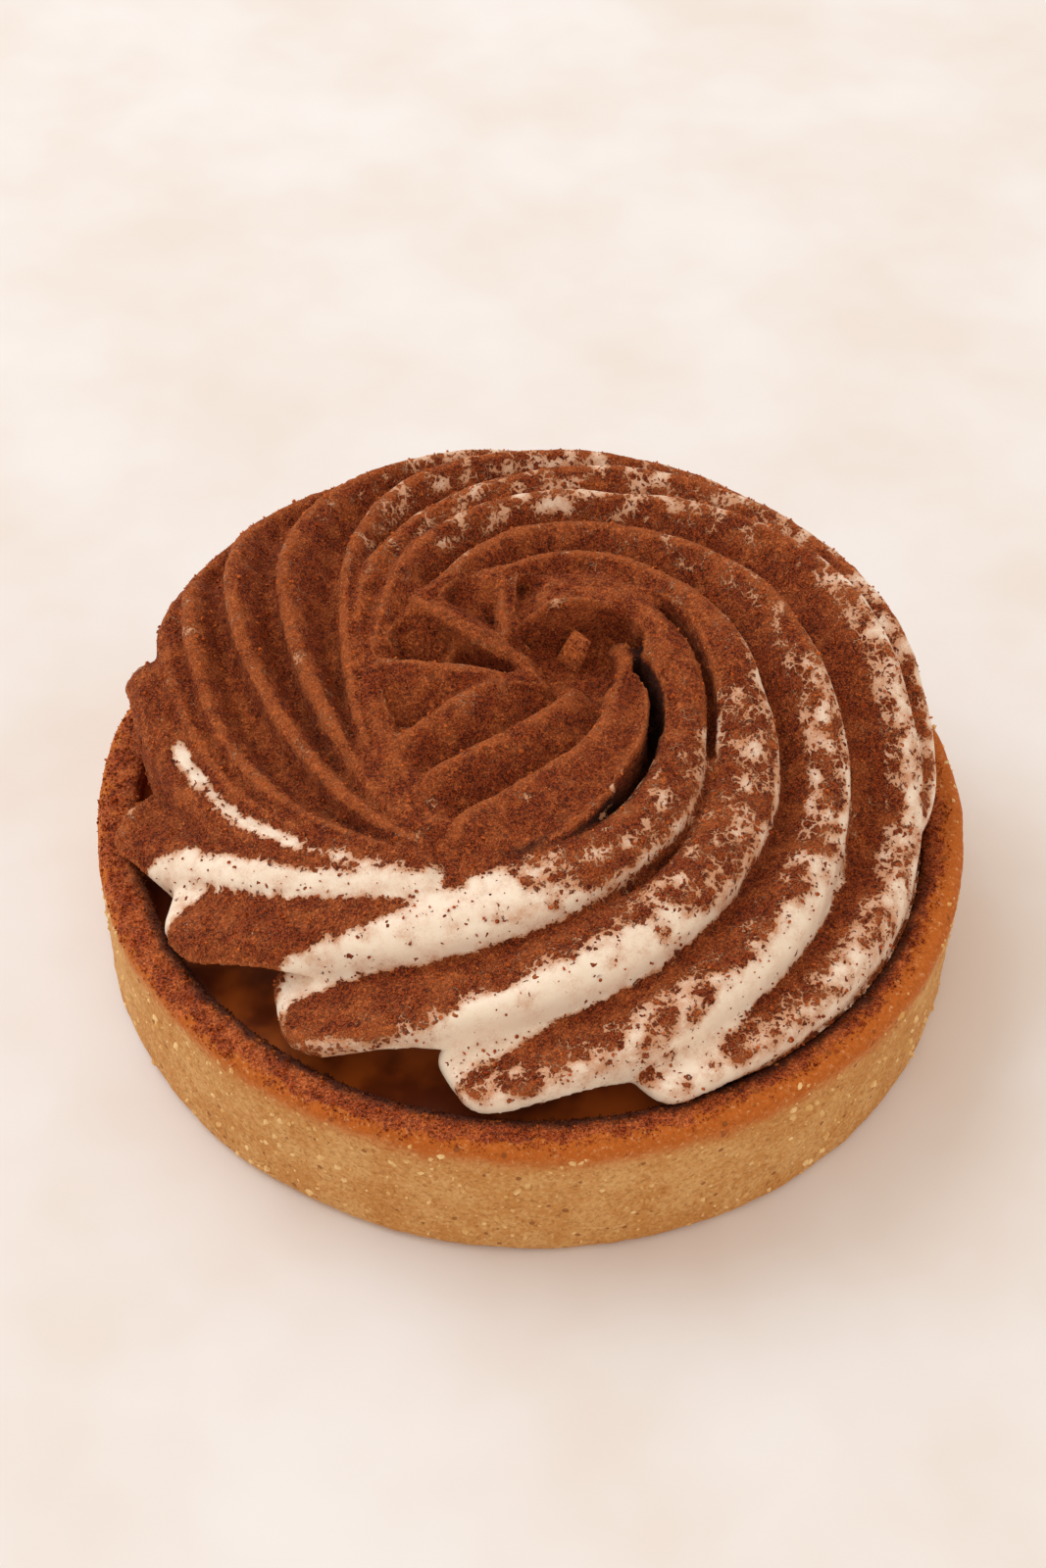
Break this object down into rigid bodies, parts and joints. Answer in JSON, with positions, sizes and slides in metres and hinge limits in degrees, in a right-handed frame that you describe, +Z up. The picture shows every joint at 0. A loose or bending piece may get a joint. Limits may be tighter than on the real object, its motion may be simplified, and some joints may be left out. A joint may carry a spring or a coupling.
{
  "type": "coffee tartlet",
  "caption": "Round straight-sided tartlet: a short pastry shell filled with coffee caramel, topped with a piped pinwheel swirl of cream dusted with cocoa.",
  "frame": {"origin": "middle of the shell's flat underside, on the surface the tartlet stands on", "axes": "+Z up through the middle of the shell, +Y towards the tall back of the swirl, +X to the right when it is seen from the front"},
  "size_m": [0.08, 0.08, 0.031],
  "materials": {
    "baked_crust": "matte golden-tan baked short pastry with a fine sandy grain, dusted with cocoa on the rim",
    "coffee_caramel": "glossy, slightly see-through dark amber coffee caramel",
    "whipped_cream": "soft satin ivory whipped cream under a fine, uneven dusting of reddish-brown cocoa"
  },
  "bodies": {
    "root": {"tart_shell": "baked_crust", "coffee_filling": "coffee_caramel", "cream_swirl": "whipped_cream"}
  },
  "joints": []
}
